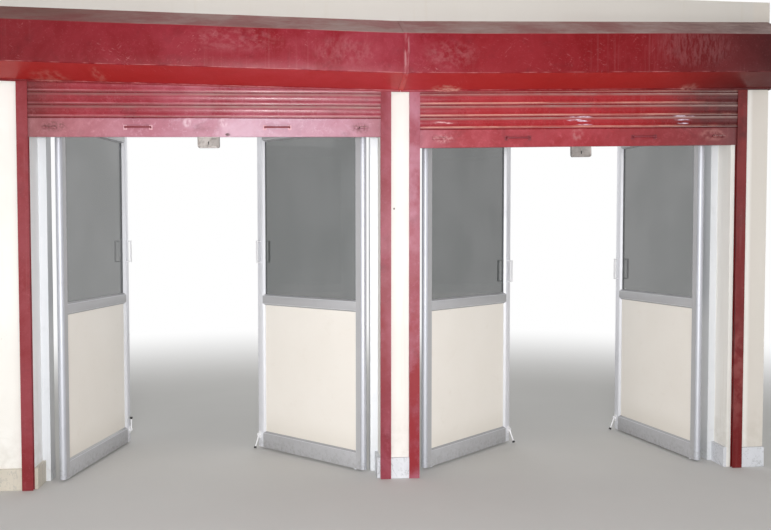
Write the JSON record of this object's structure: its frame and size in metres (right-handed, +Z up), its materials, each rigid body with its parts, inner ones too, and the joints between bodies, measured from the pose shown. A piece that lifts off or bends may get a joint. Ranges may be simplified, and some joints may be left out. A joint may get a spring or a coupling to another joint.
{
  "type": "shop front with two shuttered doorways and aluminium double doors",
  "caption": "Two-bay shop front: red steel hood, rolling shutters rolled up, and two pairs of glazed aluminium swing doors standing open.",
  "frame": {"origin": "middle of the centre pier's foot", "axes": "+Z up, +X to the right along the front, +Y inwards through the doorways"},
  "size_m": [4.881, 1.4051, 3.05],
  "materials": {
    "plaster": "painted lime plaster over brick",
    "stone_tile": "honed grey stone",
    "red_paint": "weathered dark red enamel",
    "dark_steel": "dull black paint",
    "faded_red_paint": "faded, chalky red enamel",
    "dull_steel": "dull, scratched",
    "anodised_aluminium": "satin anodised",
    "clear_glass": "clear, slightly dusty",
    "cream_laminate": "cream laminate board"
  },
  "bodies": {
    "front": {"left_pier": "plaster", "centre_pier": "plaster", "right_pier": "plaster", "head_wall": "plaster", "skirting_tiles": "stone_tile", "hood_left": "red_paint", "hood_right": "red_paint", "hood_end_plates": "red_paint", "roller_brackets": "dark_steel", "shutter_guides": "red_paint", "shutter_rolls": "red_paint", "shutter_laths": "red_paint", "bottom_bars": "faded_red_paint", "bar_pulls": "faded_red_paint", "bar_latches": "red_paint", "lock_housings": "dull_steel", "door_jambs": "anodised_aluminium", "door_heads": "anodised_aluminium"},
    "leaf_1": {"leaf_1_stiles": "anodised_aluminium", "leaf_1_rails": "anodised_aluminium", "leaf_1_beads": "anodised_aluminium", "leaf_1_glass": "clear_glass", "leaf_1_panel": "cream_laminate", "leaf_1_pulls": "anodised_aluminium", "leaf_1_holder": "dull_steel"},
    "leaf_2": {"leaf_2_stiles": "anodised_aluminium", "leaf_2_rails": "anodised_aluminium", "leaf_2_beads": "anodised_aluminium", "leaf_2_glass": "clear_glass", "leaf_2_panel": "cream_laminate", "leaf_2_pulls": "anodised_aluminium", "leaf_2_holder": "dull_steel"},
    "leaf_3": {"leaf_3_stiles": "anodised_aluminium", "leaf_3_rails": "anodised_aluminium", "leaf_3_beads": "anodised_aluminium", "leaf_3_glass": "clear_glass", "leaf_3_panel": "cream_laminate", "leaf_3_pulls": "anodised_aluminium", "leaf_3_holder": "dull_steel"},
    "leaf_4": {"leaf_4_stiles": "anodised_aluminium", "leaf_4_rails": "anodised_aluminium", "leaf_4_beads": "anodised_aluminium", "leaf_4_glass": "clear_glass", "leaf_4_panel": "cream_laminate", "leaf_4_pulls": "anodised_aluminium", "leaf_4_holder": "dull_steel"}
  },
  "joints": [
    {"name": "leaf_1_swing", "type": "hinge", "parent": "front", "child": "leaf_1", "pos_m": [-2.083, 0.0817, 0], "axis": [0, 0, 1], "range_deg": [-77.7, 12.3]},
    {"name": "leaf_2_swing", "type": "hinge", "parent": "front", "child": "leaf_2", "pos_m": [-0.263, 0.0817, 0], "axis": [0, 0, -1], "range_deg": [-45.1, 44.9]},
    {"name": "leaf_3_swing", "type": "hinge", "parent": "front", "child": "leaf_3", "pos_m": [0.236, 0.0817, 0], "axis": [0, 0, 1], "range_deg": [-41.8, 48.2]},
    {"name": "leaf_4_swing", "type": "hinge", "parent": "front", "child": "leaf_4", "pos_m": [2.041, 0.0817, 0], "axis": [0, 0, -1], "range_deg": [-79, 11]}
  ]
}
